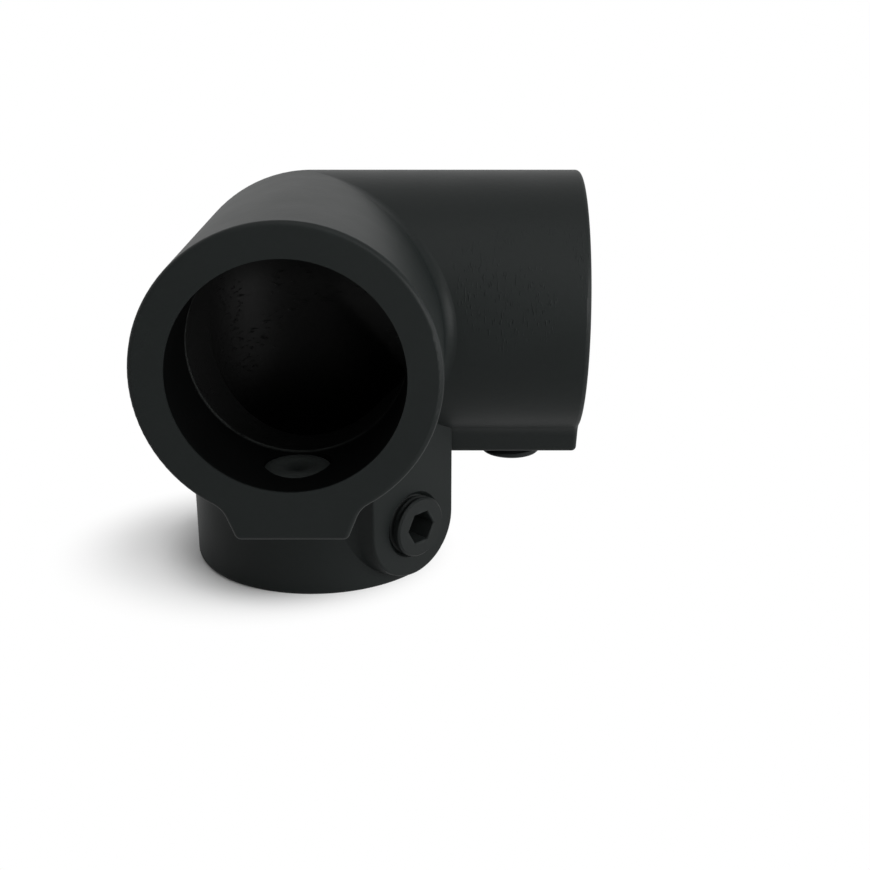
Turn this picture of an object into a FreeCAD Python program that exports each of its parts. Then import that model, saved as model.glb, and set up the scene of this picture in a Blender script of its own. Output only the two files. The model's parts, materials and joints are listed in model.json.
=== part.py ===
"""Three-way corner tube connector: one iron casting with three equal sockets, and a set screw in each.

The post socket stands on its mouth with its axis on Z, the side socket points along +X and the front
socket along -Y. The origin is the centre of the post socket's mouth. Millimetres and degrees.
"""
import FreeCAD
import Part
import math
import os

Vector = FreeCAD.Vector

# Sockets
tube_diameter = 42.4
tube_clearance = 0.3
socket_wall = 6.5
socket_reach = 57.1
bore_depth = 22.5
core_relief = 1.3
lip_chamfer = 0.5
corner_blend = 2.7
rim_round = 1.0

# Screw bosses: a rail under each level socket and a pad on the post socket
rail_width = 20.5
rail_rise = 3.1
rail_edge_round = 1.2
rail_draft = 22.0
rail_foot_round = 5.0
pad_width = 23.2
pad_rise = 2.9
pad_edge_round = 0.5
pad_draft = 10.0
pad_foot_round = 4.0

# Set screws
screw_diameter = 13.157
screw_fit = 0.05
screw_length = 11.9
screw_setback = 13.8
hole_countersink = 0.7
tip_clearance = 0.1
side_tip_clearance = 1.1
end_chamfer = 0.4
point_chamfer = 0.3
cup_diameter = 6.0
cup_depth = 1.2
key_width = 6.35
key_depth = 6.0

# What follows from the sizes above
bore_radius = tube_diameter / 2 + tube_clearance
socket_radius = bore_radius + socket_wall
core_radius = bore_radius + core_relief
screw_radius = screw_diameter / 2
hole_radius = screw_radius + screw_fit
screw_reach = socket_reach - screw_setback

x_axis = Vector(1, 0, 0)
y_axis = Vector(0, 1, 0)
z_axis = Vector(0, 0, 1)
corner = z_axis * socket_reach
front = -y_axis
side = x_axis
post = -z_axis
down = -z_axis
between = (front + side).normalize()
quarter = math.sqrt(0.5)


def segment(start, end):
    """A straight edge."""
    return Part.LineSegment(start, end).toShape()


def arc(start, centre, end):
    """The shorter arc about centre from start to end."""
    radius = (start - centre).Length
    middle = centre + ((start + end) * 0.5 - centre).normalize() * radius
    return Part.Arc(start, middle, end).toShape()


def boss_flank(width, rise, edge_round, draft, foot_round):
    """One side of a boss's section as points (across, out) about the socket's axis.

    From the flat: the rounded edge, the drafted flank, then a foot that runs out tangent to the socket.
    """
    tilt = math.radians(draft)
    outward = Vector(math.cos(tilt), math.sin(tilt), 0)
    inward = Vector(math.sin(tilt), -math.cos(tilt), 0)
    height = socket_radius + rise
    shoulder = Vector(width / 2, height, 0)
    edge_across = width / 2 - edge_round * (1 - math.sin(tilt)) / math.cos(tilt)
    edge_centre = Vector(edge_across, height - edge_round, 0)
    start = shoulder + outward * foot_round
    slope = start.dot(inward)
    gap = start.dot(start) - (socket_radius + foot_round) ** 2
    foot_centre = start + inward * (-slope - math.sqrt(slope ** 2 - gap))
    return {
        "flat_end": Vector(edge_across, height, 0),
        "edge_centre": edge_centre,
        "flank_top": edge_centre + outward * edge_round,
        "flank_foot": foot_centre - outward * foot_round,
        "foot_centre": foot_centre,
        "foot_end": foot_centre * (socket_radius / (socket_radius + foot_round)),
    }


def bossed_socket(axis, out, length, flank):
    """A solid socket with a boss along it on the side that faces out, from the corner along axis."""
    across = axis.cross(out)

    def place(name, hand):
        return corner + across * (hand * flank[name].x) + out * flank[name].y

    edges = [segment(place("flat_end", -1), place("flat_end", 1))]
    for hand in (1, -1):
        edges.append(arc(place("flat_end", hand), place("edge_centre", hand), place("flank_top", hand)))
        edges.append(segment(place("flank_top", hand), place("flank_foot", hand)))
        edges.append(arc(place("flank_foot", hand), place("foot_centre", hand), place("foot_end", hand)))
    back = corner - out * socket_radius
    edges.append(Part.Arc(place("foot_end", 1), back, place("foot_end", -1)).toShape())
    outline = Part.Wire(Part.__sortEdges__(edges))
    return Part.Face(outline).extrude(axis * length)


def round_rim(solid, axis):
    """Rounds the outer edge of a socket's mouth."""
    level = (corner + axis * socket_reach).dot(axis)
    rim = [edge for edge in solid.Edges if all(abs(v.Point.dot(axis) - level) < 1e-6 for v in edge.Vertexes)]
    return solid.makeFillet(rim_round, rim)


def rail_socket(axis):
    """A level socket with its rail underneath, flush with the mouth."""
    return round_rim(bossed_socket(axis, down, socket_reach, rail_flank), axis)


def pad_socket(axis, out):
    """The post socket with its pad, which ends in a half round about the screw."""
    upper = bossed_socket(axis, out, screw_reach, pad_flank)
    lower = Part.makeCylinder(socket_radius, screw_setback, corner + axis * screw_reach, axis)
    lower = round_rim(lower, axis)
    across = axis.cross(out)
    screw_level = corner + axis * screw_reach
    flank = {name: screw_level + across * p.x + out * p.y for name, p in pad_flank.items()}
    crown = screw_level + out * pad_flank["flat_end"].y
    root = screw_level + out * pad_flank["foot_end"].y
    section = Part.Wire([
        segment(crown, flank["flat_end"]),
        arc(flank["flat_end"], flank["edge_centre"], flank["flank_top"]),
        segment(flank["flank_top"], flank["flank_foot"]),
        arc(flank["flank_foot"], flank["foot_centre"], flank["foot_end"]),
        segment(flank["foot_end"], root),
        segment(root, crown),
    ])
    nose = Part.Face(section).revolve(screw_level, out, 180)
    below = Part.makeBox(4 * socket_radius, 4 * socket_radius, socket_radius,
                         Vector(-2 * socket_radius, -2 * socket_radius, -socket_radius))
    return upper.fuse([lower, nose.cut(below)])


def inside_corner(first, second):
    """Rounds the inside corner between two sockets, as a lens-shaped solid on their third axis.

    At socket_radius x sin(a) from their plane both sockets are socket_radius x cos(a) wide, and the round
    between them is corner_blend x cos(a): it is tangent to both all along, and dies out where they touch.
    """
    third = first.cross(second)
    bow = [(0, -1, 1), (1, -1, quarter), (1, 0, 1), (1, 1, quarter), (0, 1, 1)]
    near = socket_radius
    far = socket_radius + corner_blend
    bend = [(near, far, 1), (near, near, quarter), (far, near, 1)]
    poles = [[corner + (first * a + second * b) * wide + third * (near * high) for a, b, weight in bend]
             for wide, high, pull in bow]
    weights = [[pull * weight for a, b, weight in bend] for wide, high, pull in bow]
    surface = Part.BSplineSurface()
    surface.buildFromPolesMultsKnots(poles, [3, 2, 3], [3, 3], [0, 1, 2], [0, 1], False, False, 2, 2, weights)
    spine = segment(corner - third * near, corner + third * near)
    walls = [Part.Face(Part.Wire([surface.vIso(edge).toShape(), spine])) for edge in (0, 1)]
    shell = Part.Shell([surface.toShape()] + walls)
    shell.sewShape()
    return Part.Solid(shell)


def bore(axis):
    """The space in one socket: the finished bore, its chamfered inner lip and the cored cavity behind it."""
    across = axis.cross(between + down)
    across.normalize()

    def place(radius, reach):
        return corner + across * radius + axis * reach

    lip_reach = socket_reach - bore_depth
    section = Part.makePolygon([
        place(0, 0),
        place(0, socket_reach),
        place(bore_radius, socket_reach),
        place(bore_radius, lip_reach + lip_chamfer),
        place(bore_radius + lip_chamfer, lip_reach),
        place(core_radius, lip_reach),
        place(core_radius, 0),
        place(0, 0),
    ])
    return Part.Face(section).revolve(corner, axis, 360)


def screw_hole(axis, out, flank):
    """The hole for a set screw, from the socket's axis out through its boss, countersunk in the flat."""
    start = corner + axis * screw_reach
    height = flank["flat_end"].y
    hole = Part.makeCylinder(hole_radius, height + socket_wall, start, out)
    sink_start = start + out * (height - hole_countersink)
    sink_rise = 2 * hole_countersink
    return hole.fuse(Part.makeCone(hole_radius, hole_radius + sink_rise, sink_rise, sink_start, out))


def set_screw(axis, out, clearance):
    """A cup-point set screw with a six-sided key socket, its tip clear of the tube by the clearance."""
    tip = corner + axis * screw_reach + out * (tube_diameter / 2 + clearance)

    def place(radius, height):
        return tip + axis * radius + out * height

    section = Part.makePolygon([
        place(0, cup_depth),
        place(cup_diameter / 2, 0),
        place(screw_radius - point_chamfer, 0),
        place(screw_radius, point_chamfer),
        place(screw_radius, screw_length - end_chamfer),
        place(screw_radius - end_chamfer, screw_length),
        place(0, screw_length),
        place(0, cup_depth),
    ])
    blank = Part.Face(section).revolve(tip, out, 360)
    across = axis.cross(out)
    key_corner = key_width / math.sqrt(3)
    turns = [math.radians(60 * step) for step in range(7)]
    hexagon = Part.makePolygon([tip + out * screw_length + across * (key_corner * math.cos(turn))
                                + axis * (key_corner * math.sin(turn)) for turn in turns])
    return blank.cut(Part.Face(hexagon).extrude(out * -key_depth))


rail_flank = boss_flank(rail_width, rail_rise, rail_edge_round, rail_draft, rail_foot_round)
pad_flank = boss_flank(pad_width, pad_rise, pad_edge_round, pad_draft, pad_foot_round)
neighbours = [(front, side), (side, post), (post, front)]
screw_sites = {
    "front_set_screw": (front, down, rail_flank, tip_clearance),
    "side_set_screw": (side, down, rail_flank, side_tip_clearance),
    "post_set_screw": (post, between, pad_flank, tip_clearance),
}

ball = Part.makeSphere(socket_radius, corner)
body = ball.fuse([rail_socket(front), rail_socket(side), pad_socket(post, between)])
body = body.fuse([inside_corner(*pair) for pair in neighbours])
cavity = Part.makeSphere(core_radius, corner).fuse([bore(front), bore(side), bore(post)])
holes = [screw_hole(axis, out, flank) for axis, out, flank, clearance in screw_sites.values()]

pieces = {"corner_casting": body.cut([cavity] + holes)}
for name, (axis, out, flank, clearance) in screw_sites.items():
    pieces[name] = set_screw(axis, out, clearance)

os.makedirs("parts", exist_ok=True)
for name, shape in pieces.items():
    solid = shape.Solids[0]
    print(name, len(shape.Solids), solid.isValid(), round(solid.Volume, 1), len(solid.Faces), solid.BoundBox)
    solid.exportStep("parts/" + name + ".step")
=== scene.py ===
"""The looks of a three-way corner tube connector: one black coated casting and a set screw in each socket.

Metres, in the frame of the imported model: +Z up the post, the side socket along +X, the front one along -Y.
"""
import json
import math
import bpy
import numpy as np
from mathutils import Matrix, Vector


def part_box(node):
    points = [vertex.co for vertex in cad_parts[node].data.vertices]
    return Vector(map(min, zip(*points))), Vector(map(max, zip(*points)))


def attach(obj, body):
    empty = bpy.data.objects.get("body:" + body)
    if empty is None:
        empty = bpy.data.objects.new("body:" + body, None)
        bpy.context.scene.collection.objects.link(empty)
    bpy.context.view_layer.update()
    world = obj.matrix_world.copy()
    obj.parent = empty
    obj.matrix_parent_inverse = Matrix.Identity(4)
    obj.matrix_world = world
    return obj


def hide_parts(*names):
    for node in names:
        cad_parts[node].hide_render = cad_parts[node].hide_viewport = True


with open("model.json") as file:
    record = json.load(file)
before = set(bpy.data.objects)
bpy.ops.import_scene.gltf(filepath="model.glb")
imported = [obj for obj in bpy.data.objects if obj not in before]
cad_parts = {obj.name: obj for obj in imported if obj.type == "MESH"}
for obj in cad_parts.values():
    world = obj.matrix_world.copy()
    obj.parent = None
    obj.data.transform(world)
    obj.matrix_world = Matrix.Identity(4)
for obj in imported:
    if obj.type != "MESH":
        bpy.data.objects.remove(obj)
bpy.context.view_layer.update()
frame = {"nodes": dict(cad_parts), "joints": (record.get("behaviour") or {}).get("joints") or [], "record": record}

# The casting: three equal tube sockets at right angles that run into one ball corner, with a rail or a pad
# where each screw goes through the wall. It is sand cast in iron as one piece, then blasted and covered
# outside in matt black powder, which is baked on and leaves the cast skin showing through as a fine grain.
mounts = {mount["name"]: mount for mount in frame["record"]["mounts"]}
socket_reach = mounts["side_socket"]["pos_m"][0]
bore_radius = mounts["side_socket"]["dims"]["r_mm"] / 1000
socket_radius = -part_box("corner_casting")[0][0]
bore_depth = 0.0225
lip_reach = socket_reach - bore_depth
coat_dark, coat_light = (0.0049, 0.0063, 0.0061), (0.0076, 0.0095, 0.0092)
# The core skin inside is painted darker than the coat, as shade in the cavity.
core_painted_shade_dark, core_painted_shade_light = (0.0012, 0.0013, 0.0012), (0.0030, 0.0033, 0.0032)
# Painted shade: near black bores and lowest cavity. Painted highlight: the light line on the lips.
bore_painted_shade, lip_painted_highlight = (0.0006, 0.0007, 0.0007), (0.026, 0.028, 0.027)
mottle_grain = 0.010
sand_grain, sand_depth = 0.0012, 0.00003
powder_grain, powder_depth = 0.0004, 0.000006
mark_grain, mark_depth = (0.00040, 0.0018, 1.0), 0.00016
core_grain, core_depth = 0.0009, 0.00004
pit_grain, pit_depth = (0.0030, 0.0016, 0.0006), 0.00022
core_corner_round = 0.004


class Wire:
    """One socket of a node tree. Arithmetic on wires and numbers adds Math nodes to that tree."""

    def __init__(self, tree, socket=None):
        self.tree = tree
        self.socket = socket

    def node(self, kind, settings=None, inputs=None, output=0):
        """Adds a node: its settings first, then a value or a wire for each named socket. Gives one output."""
        made = self.tree.nodes.new("ShaderNode" + kind)
        for name, value in (settings or {}).items():
            setattr(made, name, value)
        for name, value in (inputs or {}).items():
            if isinstance(value, Wire):
                self.tree.links.new(value.socket, made.inputs[name])
            else:
                made.inputs[name].default_value = value
        return Wire(self.tree, made.outputs[output] if made.outputs else None)

    def maths(self, operation, first, second=0.0):
        """Adds a Math node on one value or two."""
        return self.node("Math", {"operation": operation}, {0: first, 1: second})

    def __add__(self, other):
        return self.maths("ADD", self, other)

    def __sub__(self, other):
        return self.maths("SUBTRACT", self, other)

    def __rsub__(self, other):
        return self.maths("SUBTRACT", other, self)

    def __mul__(self, other):
        return self.maths("MULTIPLY", self, other)

    def __pow__(self, power):
        return self.maths("POWER", self, power)

    __radd__ = __add__
    __rmul__ = __mul__

    def most(self, other):
        """The greater of two values."""
        return self.maths("MAXIMUM", self, other)

    def rise(self, low, high):
        """A soft step: 0 up to low and 1 from high on, or the other way round where low is the greater."""
        return self.node("MapRange", {"interpolation_type": "SMOOTHSTEP"},
                         {"Value": self, "From Min": low, "From Max": high})

    def tint(self, dark, light):
        """The colour that goes from dark at 0 to light at 1, by the colour sockets of a Mix node."""
        return self.node("Mix", {"data_type": "RGBA"}, {0: self, 6: (*dark, 1), 7: (*light, 1)}, 2)

    def noise(self, grain, detail=2.0, roughness=0.5):
        """Noise from 0 to 1 over this place, in lumps as wide as grain: one length, or one for each axis."""
        scale = 1 / np.broadcast_to(grain, 3)
        place = self.node("Mapping", {}, {"Vector": self, "Scale": scale.tolist()})
        return place.node("TexNoise", {}, {
            "Vector": place,
            "Scale": 1.0,
            "Detail": detail,
            "Roughness": roughness,
        })


def new_material(name):
    """A material with no nodes yet, and a wire to add them with."""
    material = bpy.data.materials.new(name)
    material.use_nodes = True
    material.node_tree.nodes.clear()
    return material, Wire(material.node_tree)


def coat_finish():
    """Matt black powder outside and a core skin inside in darker painted shade, split half way through the wall.

    A point's reach is how far it is from the corner along the nearest tube axis, and its distance off that
    axis is the rest of its distance from the corner. Short marks round each level socket are noise over its
    unrolled wall: the reach one way, and the angle round the axis times the socket's radius the other way.
    Inside, the skin is pitted and its corners are soft. The bores outside the lips and the lowest part of the
    cavity are dull and painted near black as shade, and the level sockets' lips get a painted highlight.
    """
    material, start = new_material("black_powder_coat")
    place = start.node("TexCoord", output="Object")
    about = place.node("VectorMath", {"operation": "SUBTRACT"}, {0: place, 1: (0, 0, socket_reach)})
    parts = about.node("SeparateXYZ", {}, {0: about})
    side, back, up = (Wire(start.tree, socket) for socket in parts.socket.node.outputs)
    front, down = 0 - back, 0 - up
    reach = side.most(front).most(down).most(0.0)
    off_axis = (side * side + back * back + up * up - reach * reach) ** 0.5
    middle_wall = (bore_radius + socket_radius) / 2
    inside = off_axis.rise(middle_wall + 0.0005, middle_wall - 0.0005)
    inside = inside * reach.rise(socket_reach - 0.0002, socket_reach - 0.0006)

    marks = 0.0
    for along, towards in ((side, front), (front, 0 - side)):
        round_wall = up.maths("ARCTAN2", up, towards) * socket_radius
        unrolled = along.node("CombineXYZ", {}, {0: along, 1: round_wall})
        scores = unrolled.noise(mark_grain, 1.0).rise(0.58, 0.72)
        flank = round_wall.rise(-0.008, 0.004) * round_wall.rise(0.026, 0.014)
        marks = scores * flank * along.rise(0.028, 0.034) * (along - reach).rise(-0.002, 0.0) + marks
    outer_wall = off_axis.rise(socket_radius - 0.0015, socket_radius - 0.0005)
    marks = marks * place.noise(0.011).rise(0.36, 0.56) * outer_wall
    sand = place.noise(sand_grain, 3.0, 0.6)
    powder = place.noise(powder_grain, 1.0)
    coat_height = marks * mark_depth + sand * sand_depth + powder * powder_depth
    coat_bump = start.node("Bump", {}, {"Strength": 1.0, "Distance": 1.0, "Height": coat_height})
    mottle = place.noise(mottle_grain, 3.0)
    coat_tone = mottle * 0.6 + sand * 0.2 + marks * 0.2
    coat = start.node("BsdfPrincipled", {}, {
        "Base Color": coat_tone.tint(coat_dark, coat_light),
        "Roughness": 0.50 + mottle * 0.10,
        "Normal": coat_bump,
        "Specular IOR Level": 0.07,
        "Coat Weight": 0.08,
        "Coat Roughness": 0.36,
    })

    pits = place.noise(pit_grain).rise(0.60, 0.72) * place.noise(0.009).rise(0.44, 0.60)
    core_height = place.noise(core_grain, 3.0) * core_depth - pits * pit_depth
    core_corners = start.node("Bevel", {"samples": 8}, {"Radius": core_corner_round})
    core_bump = start.node("Bump", {}, {
        "Strength": 1.0,
        "Distance": 1.0,
        "Height": core_height,
        "Normal": core_corners,
    })
    # The core skin's darker colour is painted shade.
    core = start.node("BsdfPrincipled", {}, {
        "Base Color": mottle.tint(core_painted_shade_dark, core_painted_shade_light),
        "Roughness": 0.48 + mottle * 0.10,
        "Normal": core_bump,
        "Specular IOR Level": 0.17,
    })

    # A painted highlight along the lips of the front and side sockets, not in the post.
    wander = reach + place.noise(0.0012) * 0.0004 - 0.0002
    lip_highlight_mask = wander.rise(lip_reach + 0.0022, lip_reach + 0.0010)
    lip_highlight_mask = lip_highlight_mask * wander.rise(lip_reach - 0.0012, lip_reach - 0.0006)
    lip_highlight_mask = lip_highlight_mask * place.noise(0.0035).rise(0.18, 0.50) * (reach - down).rise(0.0, 0.002)
    bored = start.node("BsdfPrincipled", {}, {
        "Base Color": (mottle * 0.02 + lip_highlight_mask * 0.9).tint(bore_painted_shade, lip_painted_highlight),
        "Roughness": 0.60 + mottle * 0.10,
        "Normal": coat_bump,
        "Specular IOR Level": 0.03,
    })
    # Painted shade: the bores beyond the lips and the lowest part of the cavity take the near black bore colour.
    dull_and_painted_shade = wander.rise(lip_reach - 0.0004, lip_reach).most(up.rise(-0.016, -0.032))
    lining = start.node("MixShader", {}, {0: dull_and_painted_shade, 1: core, 2: bored})
    surface = start.node("MixShader", {}, {0: inside, 1: coat, 2: lining})
    start.node("OutputMaterial", {}, {"Surface": surface})
    return material


frame["nodes"]["corner_casting"].material_slots[0].material = coat_finish()

# The set screws: headless steel screws with a quarter-inch pipe thread rolled on, a cup point that bites into
# the tube and a six-sided key socket broached in the outer end. They are blackened after the thread is made.
thread_pitch = 0.001337
thread_depth = 0.000856
thread_start = 0.32
thread_turns = 7.95
thread_run_out = 0.28
end_chamfer = 0.0004
point_chamfer = 0.0003
cup_radius = 0.003
cup_depth = 0.0012
ring_fall = 0.0004
key_width = 0.00635
key_depth = 0.006
key_lead_in = 0.0002
drill_depth = 0.0009
turn_steps = 144
rows_per_pitch = 24
band_steps = 12
ring_steps = 16
sharp_angle = math.radians(38)
steel_dark, steel_light = (0.0047, 0.0059, 0.0057), (0.0103, 0.0121, 0.0119)
point_colour = (0.019, 0.0215, 0.0208)
blotch_grain = 0.0016
grit_grain, grit_depth = 0.0003, 0.00001
lathe_pitch, lathe_depth = 0.0003, 0.000002

screw_low, screw_high = (np.array(corner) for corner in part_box("front_set_screw"))
screw_length = screw_high[2] - screw_low[2]
screw_radius = (screw_high[1] - screw_low[1]) / 2


def screw_skin():
    """Radius and height of a set screw's skin at each turn, ring by ring from the cup to the key socket.

    The groove is a cosine wave that climbs one pitch in a turn and runs out along the last of its turns, and
    a cone cuts it back at either end. The point is a ring that falls off as the square of the distance from
    its middle, with the cup inside it. The end face runs in to the hexagon, whose radius is half its width
    over the cosine of the angle from the middle of the nearest side. Heights go outwards from the point.
    """
    turn = np.linspace(0, 2 * np.pi, turn_steps, endpoint=False)
    level = np.ones_like(turn)
    hexagon = key_width / 2 / np.cos(turn % (np.pi / 3) - np.pi / 6)
    key_mouth = hexagon + key_lead_in
    share = np.linspace(0, 1, band_steps + 1)[1:-1, None]

    ring_out = screw_radius - point_chamfer
    ring = cup_radius + (ring_out - cup_radius) * np.linspace(0, 1, ring_steps + 1)[:, None]
    ring_height = ring_fall * ((2 * ring - cup_radius - ring_out) / (ring_out - cup_radius)) ** 2

    rise = np.arange(ring_fall, screw_length, thread_pitch / rows_per_pitch)[1:, None]
    rise = np.append(rise, [[screw_length]], axis=0)
    phase = rise / thread_pitch - turn / (2 * np.pi) + thread_start
    turns_cut = np.floor(phase) + turn / (2 * np.pi)
    cut = np.clip((thread_turns - turns_cut) / thread_run_out, 0, 1)
    thread = screw_radius - thread_depth / 2 * cut * (1 - np.cos(2 * np.pi * phase))
    point_cone = ring_out + rise - ring_fall
    end_cone = screw_radius - end_chamfer + screw_length - rise
    flank = np.minimum(np.minimum(thread, point_cone), end_cone)

    bands = [
        (cup_radius * share * level, cup_depth + (ring_fall - cup_depth) * share),
        (ring * level, ring_height),
        (flank, rise),
        (flank[-1] + (key_mouth - flank[-1]) * share, screw_length),
        (key_mouth, screw_length),
        (hexagon, screw_length - key_lead_in),
        (hexagon * np.ones_like(share), screw_length - key_lead_in + (key_lead_in - key_depth) * share),
        (hexagon, screw_length - key_depth),
        (hexagon * (1 - share), screw_length - key_depth - drill_depth * share),
    ]
    radius = np.vstack([ring for ring, height in bands])
    height = np.vstack([height * np.ones_like(np.atleast_2d(ring)) for ring, height in bands])
    return turn, radius, height


def ringed_mesh(name, rings, first_pole, last_pole):
    """A closed mesh: quads between rings of points, and a fan from each pole to the ring next to it."""
    count, steps = rings.shape[:2]
    index = np.arange(count * steps).reshape(count, steps)
    ahead = np.roll(index, -1, axis=1)
    quads = np.stack([index[:-1], ahead[:-1], ahead[1:], index[1:]], axis=-1).reshape(-1, 4)
    first_fan = np.stack([np.full(steps, index.size), ahead[0], index[0]], axis=-1)
    last_fan = np.stack([index[-1], ahead[-1], np.full(steps, index.size + 1)], axis=-1)
    mesh = bpy.data.meshes.new(name)
    points = np.vstack([rings.reshape(-1, 3), first_pole, last_pole])
    mesh.from_pydata(points, [], quads.tolist() + first_fan.tolist() + last_fan.tolist())
    mesh.polygons.foreach_set("use_smooth", np.ones(len(mesh.polygons), bool))
    mesh.set_sharp_from_angle(angle=sharp_angle)
    return mesh


def black_steel():
    """Blackened steel with turning rings, rubbed on the thread's crests and the point, with painted light in the
    key socket.
    """
    material, start = new_material("blackened_steel")
    place = start.node("TexCoord", output="Object")
    crest = start.node("Attribute", {"attribute_name": "crest"}, {}, "Fac")
    off_axis = start.node("Attribute", {"attribute_name": "off_axis"}, {}, "Fac")
    rise = start.node("Attribute", {"attribute_name": "rise"}, {}, "Fac")
    bare_point = rise.rise(0.0011, 0.0003)
    # Painted light lifts the tone inside the key socket.
    key_painted_light = off_axis.rise(0.0038, 0.0036) * rise.rise(0.003, 0.004)
    blotch = place.noise(blotch_grain, 3.0)
    grit = place.noise(grit_grain, 2.0)
    rub = crest * blotch.rise(0.35, 0.65)
    lathe = off_axis.maths("SINE", off_axis * (2 * math.pi / lathe_pitch))
    height = grit * grit_depth + lathe * lathe_depth
    bump = height.node("Bump", {}, {"Strength": 1.0, "Distance": 1.0, "Height": height})
    tone = blotch * 0.5 + grit * 0.2 + rub * 0.3 + key_painted_light * 0.8
    black = tone.tint(steel_dark, steel_light)
    colour = start.node("Mix", {"data_type": "RGBA"}, {0: bare_point, 6: black, 7: (*point_colour, 1)}, 2)
    surface = start.node("BsdfPrincipled", {}, {
        "Base Color": colour,
        "Roughness": 0.50 + blotch * 0.14 - rub * 0.1,
        "Metallic": rub * 0.2,
        "Normal": bump,
        "Specular IOR Level": 0.11,
    })
    start.node("OutputMaterial", {}, {"Surface": surface})
    return material


def set_screw(name, node, along, inward):
    """One screw's object in its solid's place: point inward, a corner of the key socket across the tube."""
    out = -np.array(inward, float)
    tip = np.mean(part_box(node), axis=0) - out * (screw_length / 2)
    across = np.cross(along, out)
    turn, radius, height = screw_skin()
    spoke = np.cos(turn)[:, None] * across + np.sin(turn)[:, None] * along
    rings = tip + radius[..., None] * spoke + height[..., None] * out
    pole_heights = np.array([cup_depth, screw_length - key_depth - drill_depth])
    mesh = ringed_mesh(name, rings, *(tip + pole_heights[:, None] * out))
    crest = (radius - screw_radius + thread_depth / 2) / (thread_depth / 2)
    on_axis = np.zeros(2)
    marks = {
        "crest": (np.maximum(crest, 0), on_axis),
        "off_axis": (radius, on_axis),
        "rise": (height, pole_heights),
    }
    for mark, (values, pole_values) in marks.items():
        attribute = mesh.attributes.new(mark, "FLOAT", "POINT")
        attribute.data.foreach_set("value", np.append(values, pole_values).astype(np.float32))
    return bpy.data.objects.new(name, mesh)


steel = black_steel()
for joint, site in zip(frame["joints"], ("front", "side", "post")):
    tube_axis = mounts[site + "_socket"]["axis"]
    screw = set_screw(site + "_threaded_screw", site + "_set_screw", tube_axis, joint["axis"])
    screw.data.materials.append(steel)
    bpy.context.scene.collection.objects.link(screw)
    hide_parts(site + "_set_screw")
    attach(screw, joint["child"])

# The studio: a wide white sheet under the connector and white all round, with soft boxes overhead and on
# every side. The sheet looks white to the camera and in reflections, and keeps the soft shadow at the foot.
sheet_size = 4.0
sheet_colour = 0.8
sheet_lift = 0.27
shade_centre = (-0.015, -0.003, 0.0)
shade_size = (0.043, 0.037, 1.0)


def seen_white(start):
    """1 for a ray that shows the studio to the eye, straight or in a mirror or glass, and 0 for light."""
    paths = start.node("LightPath").socket.node.outputs
    rays = [Wire(start.tree, paths["Is " + kind + " Ray"]) for kind in ("Camera", "Glossy", "Transmission")]
    return rays[0].most(rays[1]).most(rays[2])


def white_sheet():
    """White paper, lit from behind all round an oval patch at the foot so that it looks plain white there."""
    material, start = new_material("white_sheet")
    place = start.node("TexCoord", output="Object")
    about = place.node("VectorMath", {"operation": "SUBTRACT"}, {0: place, 1: shade_centre})
    oval = about.node("VectorMath", {"operation": "DIVIDE"}, {0: about, 1: shade_size})
    far = oval.node("VectorMath", {"operation": "LENGTH"}, {0: oval}, "Value").rise(0.5, 1.1)
    away = place.node("VectorMath", {"operation": "LENGTH"}, {0: place}, "Value")
    lift = away.rise(socket_radius - 0.002, socket_radius + 0.012) * sheet_lift
    paper = start.node("BsdfDiffuse", {}, {"Color": (sheet_colour, sheet_colour, sheet_colour, 1)})
    seen = seen_white(start)
    glow = start.node("Emission", {}, {"Strength": seen * lift})
    near_sheet = start.node("AddShader", {}, {0: paper, 1: glow})
    far_sheet = start.node("Emission", {}, {"Strength": 1.0})
    surface = start.node("MixShader", {}, {0: seen * far, 1: near_sheet, 2: far_sheet})
    start.node("OutputMaterial", {}, {"Surface": surface})
    return material


half = sheet_size / 2
sheet_mesh = bpy.data.meshes.new("studio_sheet")
sheet_corners = [(-half, -half, 0), (half, -half, 0), (half, half, 0), (-half, half, 0)]
sheet_mesh.from_pydata(sheet_corners, [], [(0, 1, 2, 3)])
sheet_mesh.materials.append(white_sheet())
sheet = bpy.data.objects.new("studio_sheet", sheet_mesh)
bpy.context.scene.collection.objects.link(sheet)

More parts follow.
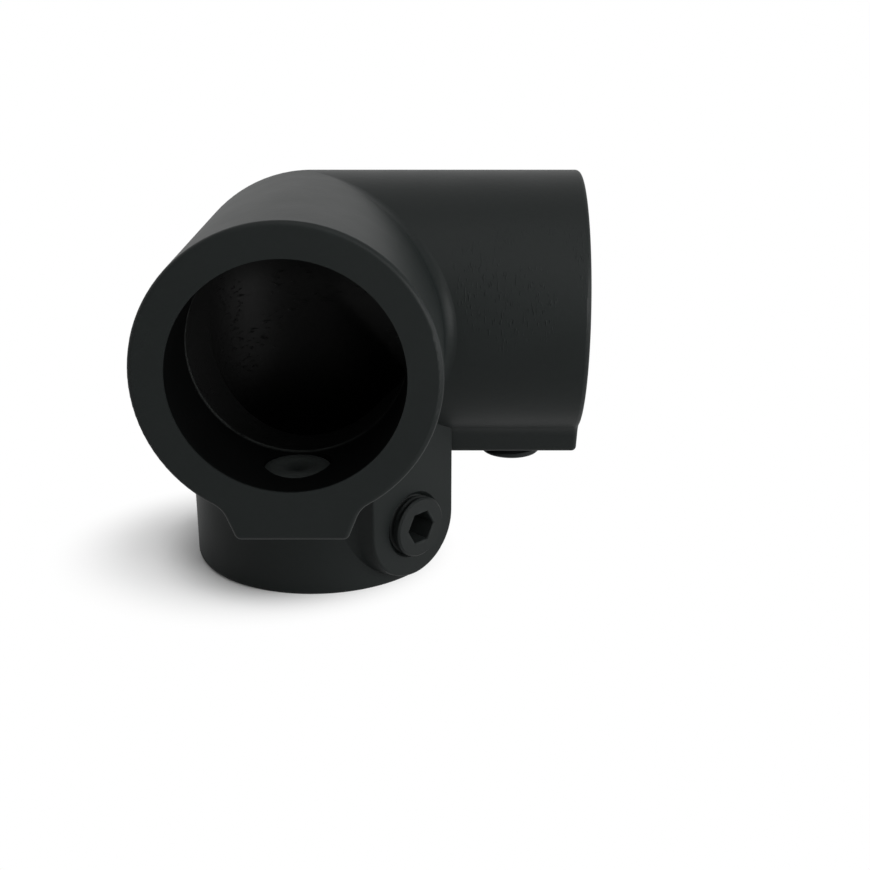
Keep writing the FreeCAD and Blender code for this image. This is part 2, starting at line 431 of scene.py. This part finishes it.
world = bpy.data.worlds.new("studio_surround")
world.use_nodes = True
world.node_tree.nodes.clear()
start = Wire(world.node_tree)
background = start.node("Background", {}, {"Color": (1, 1, 1, 1), "Strength": seen_white(start)})
start.node("OutputWorld", {}, {"Surface": background})
bpy.context.scene.world = world

soft_boxes = {
    "overhead_box": {"place": (0.05, 0.10, 0.75), "size": 0.7, "watts": 0.48},
    "front_overhead_box": {"place": (0.05, -0.35, 0.70), "size": 0.6, "watts": 2.03},
    "front_box": {"place": (0.28, -0.60, 0.45), "size": 0.4, "watts": 0.90},
    "corner_box": {"place": (0.31, -0.31, 0.10), "size": 0.25, "watts": 1.35},
    "key_box": {"place": (0.40, -0.19, 0.10), "size": 0.25, "watts": 0.52},
    "low_right_box": {"place": (0.30, 0.0, 0.05), "size": 0.15, "watts": 0.25},
    "left_back_box": {"place": (-0.50, 0.45, 0.55), "size": 0.5, "watts": 0.90},
    "left_box": {"place": (-0.75, 0.0, 0.40), "size": 0.5, "watts": 0.52},
    "back_box": {"place": (0.0, 0.70, 0.45), "size": 0.6, "watts": 0.43},
}
aim = np.array([0.01, -0.01, 0.045])
for name, box in soft_boxes.items():
    lamp = bpy.data.lights.new(name, "AREA")
    lamp.size = box["size"]
    lamp.energy = box["watts"]
    holder = bpy.data.objects.new(name, lamp)
    holder.location = box["place"]
    towards = aim - np.array(box["place"])
    holder.rotation_euler = (math.atan2(math.hypot(towards[0], towards[1]), -towards[2]), 0,
                             math.atan2(towards[1], towards[0]) - math.pi / 2)
    bpy.context.scene.collection.objects.link(holder)

# The camera: a little to the right of the post, looking along +Y and tilted down on the connector.
camera_place = (0.026314, -0.272871, 0.124681)
tilt_degrees = 19.8591
lens = bpy.data.cameras.new("view")
lens.lens = 53.19
camera = bpy.data.objects.new("view", lens)
camera.location = camera_place
camera.rotation_euler = (math.radians(90 - tilt_degrees), 0, 0)
bpy.context.scene.collection.objects.link(camera)
bpy.context.scene.camera = camera
bpy.context.scene.view_settings.view_transform = "Standard"
